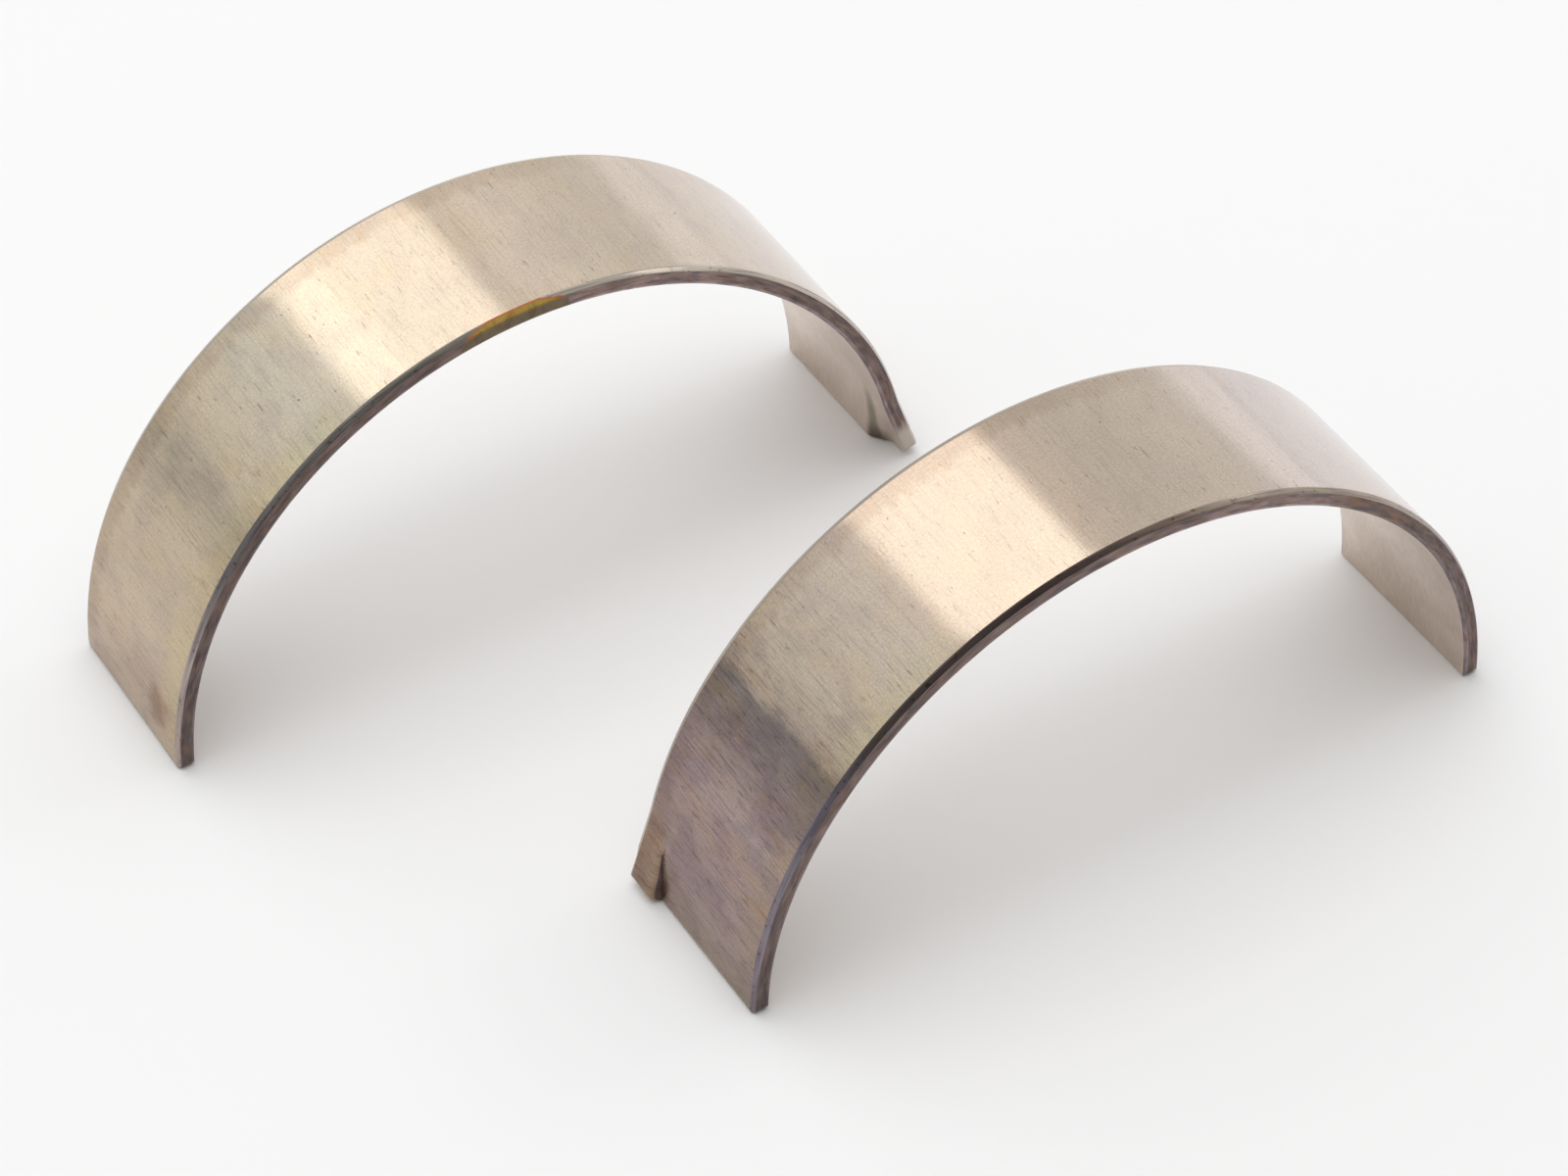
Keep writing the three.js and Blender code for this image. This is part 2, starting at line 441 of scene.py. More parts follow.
def close_feet(mesh):
    """Closes the strip's two ends with quads between its inner and outer sides."""
    form = bmesh.new()
    form.from_mesh(mesh)
    form.verts.ensure_lookup_table()
    last = len(form.verts) - SECTION_LENGTH
    for first, backwards in ((0, True), (last, False)):
        for i in range(CHAIN_LENGTH - 1):
            partner = SECTION_LENGTH - 1 - i
            corners = [first + k for k in (i, i + 1, partner - 1, partner)]
            if backwards:
                corners.reverse()
            form.faces.new([form.verts[k] for k in corners])
    form.to_mesh(mesh)
    form.free()


EDGE_LENGTH = len(BACK_EDGE)
EDGE_EASING = 4  # faces in each eased corner
SHEAR_STATION = EDGE_LENGTH + STATIONS.index(SHEAR_LINE)


def finish_faces(mesh, zone_of):
    """Gives each face the material slot of its zone, and smooth shading between sharp edges."""
    swept = ROLL_STEPS * SECTION_LENGTH
    slots = [zone_of(i % SECTION_LENGTH, i // SECTION_LENGTH) for i in range(swept)]
    slots += [zone_of(None, None)] * (len(mesh.polygons) - swept)
    mesh.polygons.foreach_set("material_index", slots)
    mesh.polygons.foreach_set("use_smooth", [True] * len(mesh.polygons))
    mesh.set_sharp_from_angle(angle=SHARP_EDGE)
    mesh.update()


def steel_zone(segment, ring):
    """Slot 0 is the plated back, 1 its machined end breaks, 2 the raw faces."""
    if segment is None or segment < CHAIN_LENGTH:
        return 2
    from_rear = segment - CHAIN_LENGTH
    station = CHAIN_LENGTH - 2 - from_rear  # the face lies between this station and the next
    if station < 0:
        return 2
    from_end = min(station, CHAIN_LENGTH - 2 - station)
    if from_end < EDGE_LENGTH - 1:
        return 1 if from_end > EDGE_EASING // 2 else 2
    near_shear = station in (SHEAR_STATION - 1, SHEAR_STATION)
    return 2 if near_shear and ring >= TORN_RING else 0


def lining_zone(segment, ring):
    """Slot 0 is the running surface, 1 the cut edges."""
    plain = segment is not None and EDGE_LENGTH - 2 < segment < CHAIN_LENGTH - EDGE_LENGTH
    return 0 if plain else 1


def ring_at(rise):
    """The first ring of the strip past an angle above the bearing axis, at the tang's foot."""
    reach = (90 - rise) / (90 - math.degrees(math.asin(PARTING_HEIGHT / BACK_RADIUS)))
    return math.ceil((math.asin(reach) / (math.pi / 2) + 1) / 2 * ROLL_STEPS)


TORN_RING = ring_at(BACK_TEAR[0])


def place_shell(piece, crown, half_turn):
    """Moves a finished mesh into the row frame: metres, turned about +Z, under its crown."""
    turn = Matrix.Rotation(math.pi if half_turn else 0.0, 4, "Z")
    place = Matrix.Translation((crown.x, crown.y, 0.0))
    piece.data.transform(place @ turn @ Matrix.Scale(MM, 4))


def shell_layers(name, materials):
    """The sizes, shears and finishes of one shell's steel back and lining."""
    steel_left = STEEL_THICKNESS - WALL_LEFT
    return [
        {
            "node": f"{name}_steel_back",
            "sides": (bond_chain(), chain(BACK_EDGE, BACK_RADIUS, -1)),
            "radii": (BOND_RADIUS, BACK_RADIUS),
            "rounds": (0.0, FOOT_ROUND_OUTER),
            "tears": (BORE_TEAR, BACK_TEAR),
            "allowed": (steel_left, None),
            "zone": steel_zone,
            "slot": "tinned_steel",
            "finishes": materials["steel"],
        },
        {
            "node": f"{name}_lining",
            "sides": (chain(BORE_EDGE, BORE_RADIUS, 1), bond_chain()),
            "radii": (BORE_RADIUS, BOND_RADIUS),
            "rounds": (FOOT_ROUND_INNER, 0.0),
            "tears": (BORE_TEAR, BORE_TEAR),
            "allowed": (steel_left + LINING_THICKNESS - LINING_LEFT, steel_left),
            "zone": lining_zone,
            "slot": "bearing_alloy",
            "finishes": materials["lining"],
        },
    ]


def make_layer(layer, tree):
    """One layer's finished mesh, still in its own millimetres."""
    section = section_object(f"{layer['node']}_section", *layer["sides"])
    values = {
        "Section": section,
        "Steps": ROLL_STEPS,
        "Parting height": PARTING_HEIGHT,
        "Inner radius": layer["radii"][0],
        "Outer radius": layer["radii"][1],
        "Half width": HALF_WIDTH,
        "Inner foot round": layer["rounds"][0],
        "Outer foot round": layer["rounds"][1],
        "Corner foot round": FOOT_ROUND_CORNER,
        "Material": layer["finishes"][0],
    }
    piece = roll_strip(f"{layer['node']}_visual", tree, values)
    bpy.data.objects.remove(section)
    press_tang(piece.data, layer["tears"], layer["allowed"])
    close_feet(piece.data)
    piece.data.materials.clear()
    for finish in layer["finishes"]:
        piece.data.materials.append(finish)
    finish_faces(piece.data, layer["zone"])
    return piece


def half_shell(name, half_turn, tree, materials):
    """Makes one shell's steel back and lining, and puts them on its body."""
    crown = crown_of(f"{name}_steel_back")
    for layer in shell_layers(name, materials):
        piece = make_layer(layer, tree)
        place_shell(piece, crown, half_turn)
        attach(piece, f"{name}_shell")
        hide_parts(layer["node"])


# ---------------------------------------------------------------- finishes


class Finish(Tree):
    """A material being written on one shell, in the strip's own coordinates."""

    def __init__(self, name, shell):
        material = bpy.data.materials.new(name)
        material.use_nodes = True
        super().__init__(material.node_tree)
        material.node_tree.nodes.clear()
        self.material = material
        stored = self.add("ShaderNodeAttribute", attribute_name="strip").outputs["Vector"]
        shift = {0: stored, 1: SEED_SHIFT[shell]}
        self.place = self.add("ShaderNodeVectorMath", shift, operation="ADD").outputs[0]
        around, self.across, self.depth = self.split(stored)
        # Degrees round the arch, from the foot on the left to the one on the right.
        sign = LEFT_TO_RIGHT[shell]
        turned = self.math("MULTIPLY", around, sign * math.degrees(1 / BACK_RADIUS))
        self.arch = self.math("ADD", turned, 90.0)
        # Millimetres round the back from the level of the bearing axis, just under the feet.
        self.above_axis = self.math("SUBTRACT", math.pi / 2 * BACK_RADIUS, self.math("ABSOLUTE", around))
        self.around = around

    def grain(self, around, across, depth=1.0, detail=2.0, distortion=0.0, offset=0.0):
        """Noise from 0 to 1 with that many cells to the millimetre each way."""
        scale = {"Vector": self.place, "Scale": (around, across, depth), "Location": (offset,) * 3}
        stretched = self.add("ShaderNodeMapping", scale).outputs[0]
        cells = {"Vector": stretched, "Scale": 1.0, "Detail": detail, "Distortion": distortion}
        return self.add("ShaderNodeTexNoise", cells).outputs[0]

    def fade(self, value, low, high):
        """0 below low, 1 above high, or the other way round where low is the larger."""
        ends = {"Value": value, "From Min": low, "From Max": high}
        return self.add("ShaderNodeMapRange", ends, interpolation_type="SMOOTHSTEP").outputs[0]

    def range(self, value, low, high):
        return self.add("ShaderNodeMapRange", {"Value": value, "To Min": low, "To Max": high}).outputs[0]

    def wander(self, value, amount, noise):
        """A value moved to and fro by noise."""
        swing = self.math("MULTIPLY", self.math("SUBTRACT", noise, 0.5), 2 * amount)
        return self.math("ADD", value, swing)

    def ramp(self, value, stops, span=1.0):
        """Colours along a value; stops are (value, colour), with values from 0 to span."""
        node = self.add("ShaderNodeValToRGB", {0: self.math("DIVIDE", value, span)})
        elements = node.color_ramp.elements
        while len(elements) < len(stops):
            elements.new(0.5)
        for element, (place, colour) in zip(elements, stops):
            element.position = place / span
            element.color = (*colour, 1.0)
        return node.outputs[0]

    def mix(self, share, first, second, blend="MIX"):
        node = self.add("ShaderNodeMix", data_type="RGBA", blend_type=blend, clamp_factor=True)
        self.feed(node.inputs[0], share)
        for socket, colour in ((node.inputs[6], first), (node.inputs[7], second)):
            self.feed(socket, colour if isinstance(colour, bpy.types.NodeSocket) else (*colour, 1.0))
        return node.outputs[2]

    def tint(self, colour, share, second):
        return self.mix(share, colour, second, "MULTIPLY")

    def bump(self, height, strength, distance):
        """A surface normal from a height; the distance is in millimetres."""
        values = {"Height": height, "Strength": strength, "Distance": distance * MM}
        return self.add("ShaderNodeBump", values).outputs[0]

    def surface(self, colour, roughness, metallic, normal):
        feeds = {"Base Color": colour, "Roughness": roughness, "Metallic": metallic, "Normal": normal}
        shader = self.add("ShaderNodeBsdfPrincipled", feeds)
        self.add("ShaderNodeOutputMaterial", {"Surface": shader.outputs[0]})
        return self.material


# The front shell is turned half round, so its strip runs the other way across the pair.
LEFT_TO_RIGHT = {"rear": 1.0, "front": -1.0}
SEED_SHIFT = {"rear": (0.0, 0.0, 0.0), "front": (211.0, 67.0, 0.0)}

# Tarnish and painted reflection on the plated back, as a tint by degrees from the left foot. The darker
# left side and the dark band near 35 to 40 degrees are painted reflections.
BACK_TARNISH_AND_REFLECTION = {
    "rear": [
        (0, (0.57, 0.52, 0.48)),
        (10, (0.54, 0.49, 0.43)),
        (16, (0.63, 0.61, 0.56)),
        (28, (0.60, 0.59, 0.55)),
        (35, (0.64, 0.64, 0.58)),
        (40, (0.54, 0.56, 0.52)),
        (46, (0.75, 0.76, 0.70)),
        (58, (0.79, 0.85, 0.84)),
        (69, (0.79, 0.79, 0.75)),
        (72, (0.69, 0.69, 0.66)),
        (84, (0.72, 0.71, 0.68)),
        (92, (0.92, 0.92, 0.90)),
        (106, (0.76, 0.77, 0.75)),
        (118, (0.77, 0.78, 0.82)),
        (150, (0.78, 0.79, 0.88)),
    ],
    "front": [
        (0, (0.36, 0.31, 0.28)),
        (8, (0.39, 0.35, 0.39)),
        (16, (0.38, 0.34, 0.39)),
        (25, (0.43, 0.40, 0.46)),
        (33, (0.31, 0.29, 0.34)),
        (38.6, (0.29, 0.30, 0.33)),
        (39.6, (0.50, 0.49, 0.49)),
        (46, (0.67, 0.68, 0.66)),
        (58, (0.75, 0.77, 0.80)),
        (63, (0.73, 0.71, 0.69)),
        (84, (0.73, 0.71, 0.69)),
        (92, (0.66, 0.67, 0.67)),
        (106, (0.75, 0.76, 0.77)),
        (118, (0.77, 0.80, 0.92)),
        (150, (0.77, 0.80, 0.94)),
    ],
}
# How strongly the brown and violet mottling shows, by degrees from the left foot.
BACK_MOTTLING = {
    "rear": [(0, (0.7,) * 3), (25, (0.3,) * 3), (38, (0.5,) * 3), (60, (0.3,) * 3), (180, (0.12,) * 3)],
    "front": [(0, (0.9,) * 3), (38, (0.8,) * 3), (46, (0.5,) * 3), (64, (0.2,) * 3), (180, (0.1,) * 3)],
}
PLATING = (0.92, 0.77, 0.62)
HALF_TURN = 180.0
# Clouds in the tarnish: cells to the millimetre round and along, distortion, offset, the noise they
# fade between, and their tint. The first are violet, then warm and cool.
CLOUDS = [
    ((0.22, 0.16), 0.6, 31.0, (0.45, 0.62), (0.80, 0.78, 0.86)),
    ((0.35, 0.12), 0.8, 53.0, (0.50, 0.70), (1.08, 1.0, 0.84)),
    ((0.5, 0.2), 0.8, 61.0, (0.54, 0.66), (0.85, 0.88, 0.92)),
]
FOOT_RELIEF = (1.5, 1.0)  # millimetres above the axis that the brown relief fades between
TANG_TONE = (1.04, 1.0, 0.84)
TANG_TONE_REACH = (45, 48)  # millimetres round from the crown
STAIN_PLACE = (-50.0, -4.9)  # round from the crown and along the axis
STAIN_EDGE = (2.4, 0.8)


def plated_back(shell):
    """Satin flash plating with tarnish and painted reflection bands, mottling, axial scratches and specks.
    """
    finish = Finish(f"{shell}_plated_back", shell)
    drift = finish.grain(0.12, 0.09, detail=3.0)
    edge_drift = finish.grain(1.1, 0.35, detail=4.0, offset=7.0)
    angle = finish.wander(finish.wander(finish.arch, 1.3, drift), 1.6, edge_drift)
    # The tint by angle is tarnish with painted reflection bands.
    colour = finish.tint(PLATING, 1.0, finish.ramp(angle, BACK_TARNISH_AND_REFLECTION[shell], HALF_TURN))
    mottling = finish.ramp(finish.arch, BACK_MOTTLING[shell], HALF_TURN)
    for cells, distortion, offset, ends, tone in CLOUDS:
        noise = finish.grain(*cells, detail=5.0, distortion=distortion, offset=offset)
        share = finish.math("MULTIPLY", finish.fade(noise, *ends), mottling)
        colour = finish.tint(colour, share, tone)
    colour, height = scratched(finish, colour, mottling)
    colour = aged_edges(finish, shell, colour, drift, edge_drift)
    if shell == "rear":
        colour = stain(finish, colour)
    shine = finish.range(finish.grain(0.5, 0.3, detail=3.0, offset=41.0), -0.03, 0.03)
    rough = finish.math("ADD", finish.range(mottling, 0.10, 0.3), shine)
    normal = finish.bump(height, 0.3, 0.006)
    return finish.surface(colour=colour, roughness=rough, metallic=1.0, normal=normal)


def scratched(finish, colour, mottling):
    """Axial streaks, hairlines, a fine grain and specks; also gives their height."""
    streaks = finish.grain(6.0, 0.2, detail=4.0, distortion=0.5, offset=11.0)
    dull = finish.math("MULTIPLY", finish.fade(streaks, 0.48, 0.70), finish.range(mottling, 0.12, 1.0))
    colour = finish.tint(colour, dull, (0.70, 0.69, 0.70))
    rubbed = finish.math("MULTIPLY", finish.fade(streaks, 0.38, 0.24), mottling)
    colour = finish.mix(rubbed, colour, finish.tint(colour, 1.0, (1.30, 1.27, 1.2)))

    hairlines = finish.grain(6.0, 0.7, detail=2.0, distortion=0.5, offset=17.0)
    scratches = finish.fade(hairlines, 0.68, 0.73)
    colour = finish.tint(colour, scratches, (0.62, 0.60, 0.58))
    scored = finish.math("MULTIPLY", finish.fade(hairlines, 0.54, 0.64), mottling)
    colour = finish.tint(colour, scored, (0.78, 0.76, 0.76))
    fine = finish.grain(6.0, 4.0, detail=3.0, offset=23.0)
    colour = finish.tint(colour, 1.0, finish.ramp(fine, [(0.25, (0.84,) * 3), (0.75, (1.1,) * 3)]))
    specks = finish.fade(finish.grain(1.9, 1.5, detail=1.0, offset=91.0), 0.785, 0.82)
    colour = finish.tint(colour, specks, (0.35, 0.3, 0.26))

    relief = finish.math("SUBTRACT", streaks, finish.math("MULTIPLY", scratches, 0.6))
    height = finish.math("ADD", relief, finish.math("MULTIPLY", fine, 0.45))
    return colour, height


def aged_edges(finish, shell, colour, drift, edge_drift):
    """Darker towards the rear end face, olive near the front one, brown at the feet, olive on the tang."""
    towards_rear = finish.math("MULTIPLY", finish.across, LEFT_TO_RIGHT[shell])
    far_side = finish.fade(finish.wander(towards_rear, 1.6, edge_drift), 5.6, 7.0)
    left_half = finish.fade(finish.arch, 125.0, 85.0)
    colour = finish.tint(colour, finish.math("MULTIPLY", far_side, left_half), (0.88, 0.85, 0.83))
    near_side = finish.fade(finish.wander(towards_rear, 1.5, drift), -4.0, -7.5)
    olive = finish.math("MULTIPLY", near_side, finish.fade(finish.arch, 66.0, 58.0))
    colour = finish.tint(colour, olive, (0.99, 1.0, 0.90))
    relief = finish.fade(finish.wander(finish.above_axis, 0.3, edge_drift), *FOOT_RELIEF)
    colour = finish.mix(finish.math("MULTIPLY", relief, 0.75), colour, (0.36, 0.29, 0.21))
    before_shear = finish.fade(finish.across, SHEAR_LINE + 0.4, SHEAR_LINE - 0.4)
    on_tang = finish.math("MULTIPLY", before_shear, finish.fade(finish.around, *TANG_TONE_REACH))
    return finish.tint(colour, on_tang, TANG_TONE)


def stain(finish, colour):
    """A brown stain on the rear shell, low on its left side."""
    aside = finish.math("SUBTRACT", finish.around, STAIN_PLACE[0])
    along = finish.math("SUBTRACT", finish.across, STAIN_PLACE[1])
    squares = [finish.math("POWER", finish.math("ABSOLUTE", way), 2.0) for way in (aside, along)]
    distance = finish.math("SQRT", finish.math("ADD", *squares))
    ragged = finish.grain(0.8, 0.6, detail=4.0, offset=3.0)
    blot = finish.fade(finish.wander(distance, 1.3, ragged), *STAIN_EDGE)
    return finish.tint(colour, blot, (0.66, 0.55, 0.48))


# The end breaks' colour by degrees from the left foot: partly tarnish, partly painted reflection, dark
# where the breaks would mirror the dim front and light right of the crown as a painted highlight.
BREAK_TONES_AND_REFLECTIONS = {
    "rear": [
        (0, (0.42, 0.34, 0.30)),
        (20, (0.40, 0.34, 0.31)),
        (34, (0.21, 0.19, 0.19)),
        (66, (0.22, 0.21, 0.18)),
        (78, (0.30, 0.28, 0.23)),
        (94, (0.62, 0.56, 0.46)),
        (130, (0.62, 0.54, 0.46)),
        (180, (0.52, 0.47, 0.44)),
    ],
    "front": [
        (0, (0.22, 0.18, 0.18)),
        (10, (0.26, 0.22, 0.24)),
        (38, (0.20, 0.18, 0.21)),
        (46, (0.11, 0.09, 0.08)),
        (80, (0.11, 0.08, 0.07)),
        (96, (0.34, 0.26, 0.21)),
        (104, (0.55, 0.46, 0.37)),
        (124, (0.52, 0.43, 0.35)),
        (150, (0.36, 0.30, 0.28)),
    ],
}
# How light the raw end faces are, by degrees from the left foot; the light stretch right of the crown is a
# painted highlight.
EDGE_LIGHTNESS_AND_HIGHLIGHT = {
    "rear": [(0, 0.8), (30, 0.9), (60, 1.15), (90, 1.3), (98, 1.9), (116, 1.9), (128, 1.25), (180, 1.1)],
    "front": [(0, 0.75), (30, 1.15), (60, 1.2), (96, 1.3), (104, 1.7), (118, 1.6), (126, 1.0), (180, 1.1)],
}


def end_break(shell):
    """The machined breaks round both end faces: fine lines along the arc, and a tone by angle that is
    partly tarnish and partly painted reflection, darker on the left with a painted highlight right of the
    crown.
    """
    finish = Finish(f"{shell}_end_break", shell)
    drift = finish.grain(0.3, 0.3, detail=3.0)
    angle = finish.wander(finish.arch, 5.0, drift)
    # Tone by angle: tarnish with painted reflection and a painted highlight.
    colour = finish.ramp(angle, BREAK_TONES_AND_REFLECTIONS[shell], HALF_TURN)
    lines = finish.grain(0.25, 4.5, 9.0, detail=3.0, offset=5.0)
    colour = finish.tint(colour, finish.fade(lines, 0.4, 0.7), (0.62, 0.60, 0.66))
    pits = finish.fade(finish.grain(2.2, 2.2, 3.0, detail=3.0, offset=71.0), 0.6, 0.72)
    colour = finish.tint(colour, pits, (0.55, 0.48, 0.44))
    rough = finish.range(finish.grain(1.0, 1.0, detail=2.0, offset=9.0), 0.24, 0.4)
    # The rear end face's break is blended towards a light colour, so the painted dark shows mostly on the
    # front one.
    at_rear = finish.fade(finish.math("MULTIPLY", finish.across, LEFT_TO_RIGHT[shell]), 0.0, 1.0)
    colour = finish.mix(finish.math("MULTIPLY", at_rear, 0.6), colour, (0.60, 0.52, 0.42))
    metallic = 1.0
    if shell == "rear":
        colour, metallic = paint_mark(finish, colour)
    normal = finish.bump(lines, 0.4, 0.01)
    return finish.surface(colour=colour, roughness=rough, metallic=metallic, normal=normal)


BARE_STEEL = (0.16, 0.115, 0.105)
BARE_ALLOY = (0.24, 0.19, 0.19)
RUST = (0.25, 0.14, 0.095)
RUST_PATCH = (120.0, 127.0, 134.0, 144.0)  # degrees that the patch fades in and out between
WORN_TIP = (49.3, 51.4)  # millimetres round from the crown that the tang's bright tip starts between


def raw_edge(shell, name="raw_edge", base=BARE_STEEL):
    """The sheared and machined edges of the bare strip: dark, with rust-brown spots and a painted
    highlight right of the crown.
    """
    finish = Finish(f"{shell}_{name}", shell)
    streaks = finish.grain(0.45, 0.6, 2.5, detail=4.0, distortion=0.4)
    dark, light = tuple(0.55 * c for c in base), tuple(1.5 * c for c in base)
    colour = finish.ramp(streaks, [(0.3, dark), (0.7, light)])
    # Lightness by angle, with a painted highlight right of the crown.
    lightness_and_highlight = [(place, (level,) * 3) for place, level in EDGE_LIGHTNESS_AND_HIGHLIGHT[shell]]
    colour = finish.tint(colour, 1.0, finish.ramp(finish.arch, lightness_and_highlight, HALF_TURN))
    rust = finish.fade(finish.grain(0.8, 0.8, 1.6, detail=5.0, offset=13.0), 0.54, 0.68)
    colour = finish.mix(finish.math("MULTIPLY", rust, 0.55), colour, RUST)
    if shell == "front":
        colour = rust_patch(finish, colour, streaks)
    blue = finish.fade(finish.grain(0.5, 0.5, 1.2, detail=3.0, offset=29.0), 0.56, 0.7)
    colour = finish.mix(finish.math("MULTIPLY", blue, 0.5), colour, (0.13, 0.13, 0.16))
    lines = finish.grain(0.5, 5.0, 8.0, detail=3.0, offset=37.0)
    colour = finish.tint(colour, finish.fade(lines, 0.5, 0.75), (0.6, 0.55, 0.55))
    worn = finish.fade(finish.wander(finish.around, 0.7, streaks), *WORN_TIP)
    worn = finish.math("MULTIPLY", worn, finish.fade(finish.across, -7.2, -7.8))
    colour = finish.mix(worn, colour, (0.50, 0.43, 0.37))
    metallic = 0.7
    if shell == "rear":
        colour, metallic = paint_mark(finish, colour, metallic)
    normal = finish.bump(finish.math("ADD", lines, streaks), 0.5, 0.02)
    return finish.surface(colour=colour, roughness=0.5, metallic=metallic, normal=normal)


def rust_patch(finish, colour, streaks):
    """A browner stretch of the front shell's raw edges, right of the crown."""
    start, full, fading, end = RUST_PATCH
    patch = finish.math("SUBTRACT", 1.0, finish.fade(finish.arch, fading, end))
    patch = finish.math("MULTIPLY", patch, finish.fade(finish.arch, start, full))
    patch = finish.math("MULTIPLY", patch, finish.fade(streaks, 0.4, 0.6))
    return finish.mix(finish.math("MULTIPLY", patch, 0.6), colour, (0.25, 0.135, 0.08))


PAINT_MIDDLE = 86.6  # degrees from the left foot
# The mark's half width in degrees: on the back's edge, past the break, at the bore.
PAINT_REACH = (3.2, 7.2, 8.8)
PAINT_OCHRE = (0.36, 0.23, 0.035)
PAINT_OLIVE = (0.18, 0.13, 0.05)
PAINT_ORANGE = (0.42, 0.11, 0.02)


def paint_mark(finish, colour, metallic=1.0):
    """A dab of marking paint on the front end face, yellow-olive with an orange rim outside."""
    ragged = finish.grain(1.6, 1.0, 1.0, detail=4.0, offset=19.0)
    from_middle = finish.math("ABSOLUTE", finish.math("SUBTRACT", finish.arch, PAINT_MIDDLE))
    outside, past_break, at_bore = PAINT_REACH
    down_break = finish.fade(finish.depth, -0.12, 0.26)
    down_wall = finish.fade(finish.depth, 0.2, 1.5)
    wider = finish.math("MULTIPLY", down_break, past_break - outside)
    widest = finish.math("MULTIPLY", down_wall, at_bore - past_break)
    reach = finish.math("ADD", finish.math("ADD", wider, widest), outside)
    inside = finish.wander(finish.math("SUBTRACT", reach, from_middle), 1.4, ragged)
    front = finish.fade(finish.across, 0.5, -0.5)
    mark = finish.math("MULTIPLY", finish.fade(inside, -0.25, 0.25), front)
    core = finish.mix(finish.fade(finish.depth, 0.2, 0.5), PAINT_OCHRE, PAINT_OLIVE)
    core = finish.tint(core, finish.fade(ragged, 0.4, 0.7), (0.7, 0.62, 0.5))
    rim = finish.math("MAXIMUM", finish.fade(inside, 1.3, 0.5), finish.fade(finish.depth, 0.06, 0.02))
    rim = finish.math("MULTIPLY", rim, finish.fade(finish.depth, 0.4, 0.28))
    paint = finish.mix(rim, core, PAINT_ORANGE)
    mark = finish.math("MULTIPLY", mark, finish.range(finish.fade(finish.depth, 0.25, 0.6), 1.0, 0.75))
    bare = finish.math("MULTIPLY", finish.math("SUBTRACT", 1.0, mark), metallic)
    return finish.mix(mark, colour, paint), bare


ALLOY_TONES = ((0.70, 0.60, 0.525), (0.81, 0.72, 0.65))
# Grime and painted shade in the tang's recess, and its darker low part.
GRIME_AND_SHADE = (0.27, 0.24, 0.18)
DEEP_GRIME_AND_SHADE = (0.10, 0.08, 0.055)


def running_surface(shell):
    """The lining's bore: smooth, matt and pale, with faint drawing lines, handling marks, and grime with
    painted shade in the tang's recess.
    """
    finish = Finish(f"{shell}_running_surface", shell)
    clouds = finish.grain(0.16, 0.16, detail=4.0, distortion=0.4)
    colour = finish.ramp(clouds, [(0.3, ALLOY_TONES[0]), (0.7, ALLOY_TONES[1])])
    foot = finish.fade(finish.wander(finish.above_axis, 2.0, clouds), 9.0, 1.0)
    colour = finish.tint(colour, foot, (0.86, 0.83, 0.80))
    # Grime and painted shade along the shear in the tang's recess, darkest low down.
    from_shear = finish.math("ABSOLUTE", finish.math("SUBTRACT", finish.across, SHEAR_LINE))
    recess_grime_and_shade = finish.math("MULTIPLY", finish.fade(from_shear, 0.9, 0.2), finish.fade(finish.around, 45, 50))
    colour = finish.mix(finish.math("MULTIPLY", recess_grime_and_shade, 0.8), colour, GRIME_AND_SHADE)
    low = finish.math("MULTIPLY", finish.fade(from_shear, 1.3, 0.4), finish.fade(finish.around, 51, 54))
    colour = finish.mix(finish.math("MULTIPLY", low, 0.8), colour, DEEP_GRIME_AND_SHADE)
    fine = finish.grain(1.2, 4.0, detail=3.0, offset=5.0)
    colour = finish.tint(colour, 1.0, finish.ramp(fine, [(0.3, (0.93,) * 3), (0.7, (1.05,) * 3)]))
    rough = finish.range(clouds, 0.36, 0.46)
    normal = finish.bump(fine, 0.25, 0.006)
    return finish.surface(colour=colour, roughness=rough, metallic=0.9, normal=normal)


def floor_finish():
    material = bpy.data.materials.new("floor")
    material.use_nodes = True
    shader = material.node_tree.nodes["Principled BSDF"]
    shader.inputs["Base Color"].default_value = (0.9, 0.9, 0.9, 1.0)
    shader.inputs["Roughness"].default_value = 0.9
    return material


# ---------------------------------------------------------------- studio


FLOOR_REACH = 4.0
CAMERA_TURN = (-31.14, 45.07, -0.545)  # azimuth, elevation and roll, in degrees
CAMERA_AIM = (-0.0043, -0.0079, 0.0)  # from the middle of the pair
CAMERA_DISTANCE = 0.3772
CAMERA_LENS = 109.73
SENSOR_WIDTH = 36.0


def studio_floor():
    reach = FLOOR_REACH
    corners = [(-reach, -reach, 0.0), (reach, -reach, 0.0), (reach, reach, 0.0), (-reach, reach, 0.0)]
    mesh = bpy.data.meshes.new("floor")
    mesh.from_pydata(corners, [], [(0, 1, 2, 3)])
    mesh.materials.append(floor_finish())
    floor = bpy.data.objects.new("floor", mesh)
    bpy.context.scene.collection.objects.link(floor)


def studio_camera():
    """The camera looks down at the pair from the front left."""
    azimuth, elevation, roll = (math.radians(angle) for angle in CAMERA_TURN)
    aim = (cad_box[0] + cad_box[1]) / 2 + Vector(CAMERA_AIM)
    away = Vector((
        math.sin(azimuth) * math.cos(elevation),
        -math.cos(azimuth) * math.cos(elevation),
        math.sin(elevation),
    ))
    data = bpy.data.cameras.new("camera")
    data.sensor_width = SENSOR_WIDTH
    data.lens = CAMERA_LENS
    camera = bpy.data.objects.new("camera", data)
    bpy.context.scene.collection.objects.link(camera)
    turn = away.to_track_quat("Z", "Y").to_matrix().to_4x4()
    place = Matrix.Translation(aim + away * CAMERA_DISTANCE)
    camera.matrix_world = place @ turn @ Matrix.Rotation(roll, 4, "Z")
    bpy.context.scene.camera = camera


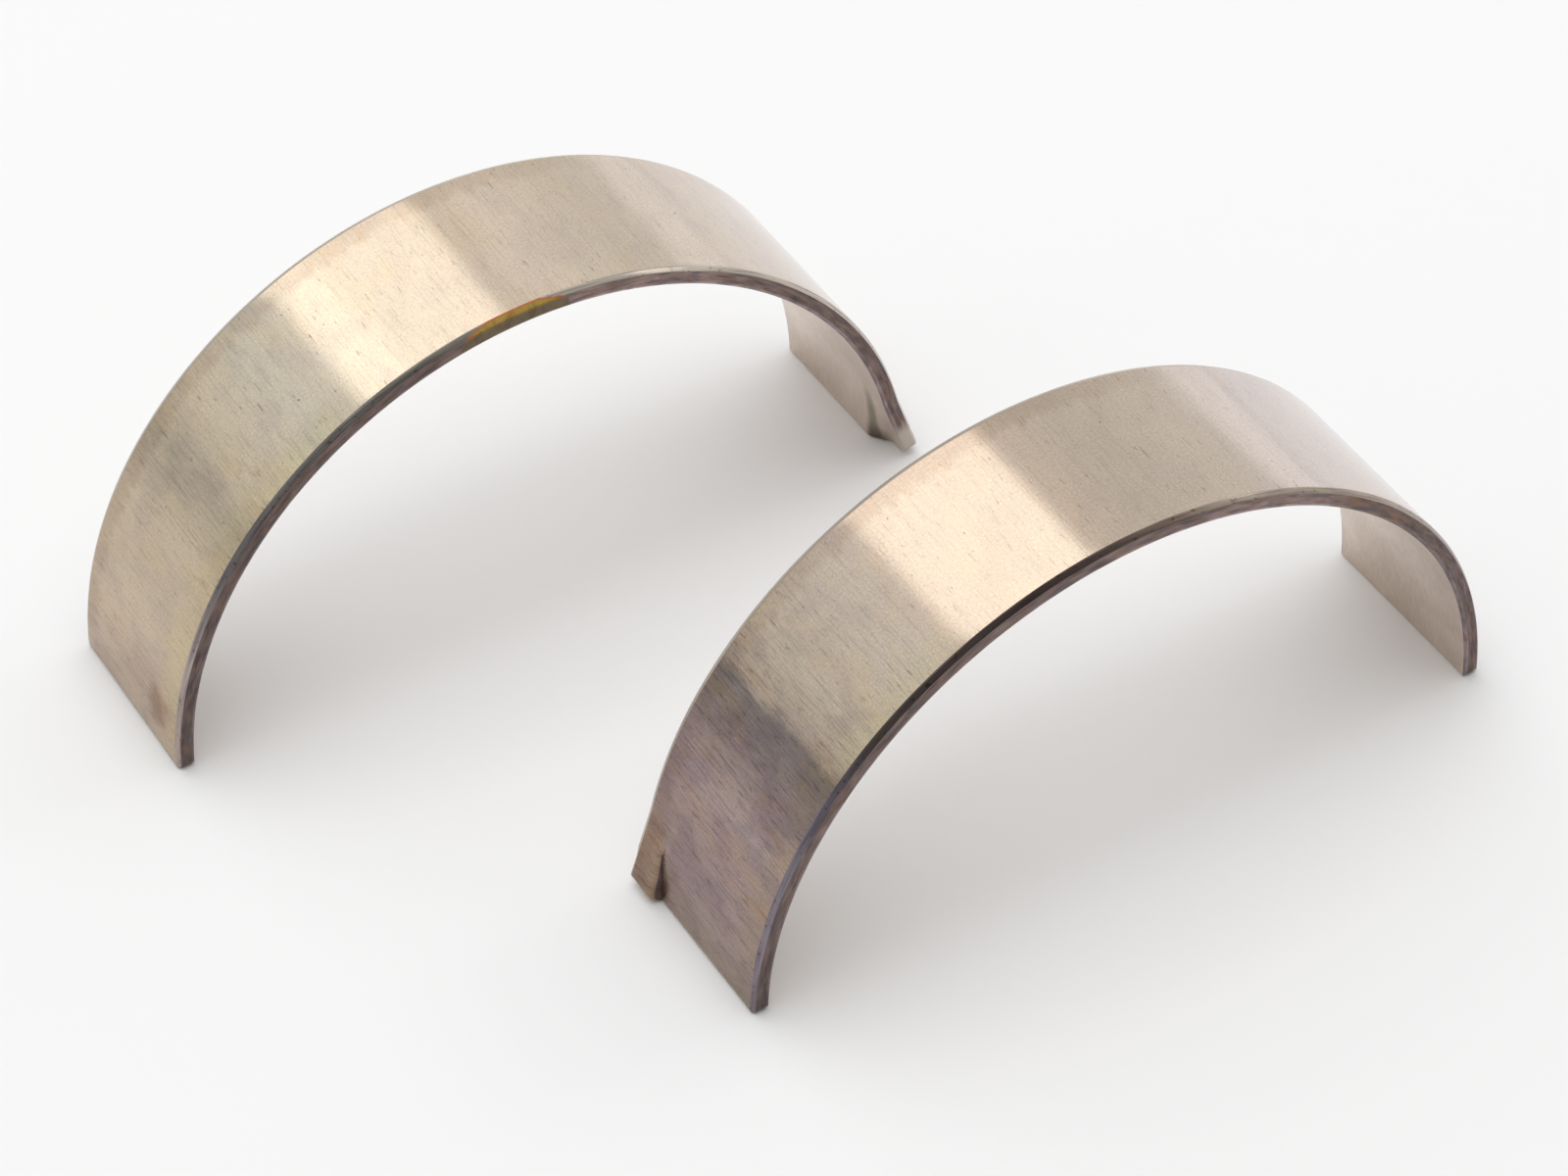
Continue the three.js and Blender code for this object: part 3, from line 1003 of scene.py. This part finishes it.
def softbox(name, direction, distance, size, strength, shiny=True):
    """An even rectangular light that faces the pair; the camera doesn't see it."""
    towards = Vector(direction).normalized()
    data = bpy.data.lights.new(name, "AREA")
    data.shape = "RECTANGLE"
    data.size, data.size_y = size
    data.energy = strength * math.pi * size[0] * size[1]
    light = bpy.data.objects.new(name, data)
    light.location = towards * distance
    light.rotation_mode = "QUATERNION"
    light.rotation_quaternion = towards.to_track_quat("Z", "Y")
    light.visible_camera = False
    light.visible_glossy = shiny
    bpy.context.scene.collection.objects.link(light)


def studio_world(backdrop, behind, before):
    """Even light, weaker from the front of the pair; the camera sees a plain pale backdrop."""
    world = bpy.data.worlds.new("studio")
    world.use_nodes = True
    tree = Tree(world.node_tree)
    world.node_tree.nodes.clear()
    direction = tree.split(tree.add("ShaderNodeTexCoord").outputs["Generated"])
    side = {"Value": direction[1], "From Min": -0.6, "From Max": 0.3, "To Min": before, "To Max": behind}
    level = tree.add("ShaderNodeMapRange", side, interpolation_type="SMOOTHSTEP").outputs[0]
    seen = tree.add("ShaderNodeLightPath").outputs["Is Camera Ray"]
    rest = tree.math("MULTIPLY", level, tree.math("SUBTRACT", 1.0, seen))
    level = tree.math("ADD", rest, tree.math("MULTIPLY", seen, backdrop))
    light = tree.add("ShaderNodeBackground", {"Strength": level}).outputs[0]
    tree.add("ShaderNodeOutputWorld", {"Surface": light})
    bpy.context.scene.world = world


studio_camera()
studio_floor()
studio_world(backdrop=0.97, behind=1.0, before=0.42)
softbox("key", (-0.076, 0.64, 0.764), 1.2, (0.70, 0.9), 0.85)
softbox("low_right", (0.76, 0.64, 0.0), 1.5, (1.6, 0.66), 0.2)
softbox("side", (0.77, 0.0, 0.63), 1.2, (0.2, 0.2), 3.5)
softbox("above_left", (-0.48, 0.03, 0.87), 1.2, (0.3, 0.3), 1.5)
softbox("overhead", (0.0, 0.0, 1.0), 1.5, (1.5, 1.5), 1.35, shiny=False)
bpy.context.scene.view_settings.view_transform = "Standard"

rolling = rolling_tree()
for shell in ("rear", "front"):
    finishes = {
        "steel": [plated_back(shell), end_break(shell), raw_edge(shell)],
        "lining": [running_surface(shell), raw_edge(shell, "lining_edge", BARE_ALLOY)],
    }
    half_shell(shell, shell == "front", rolling, finishes)
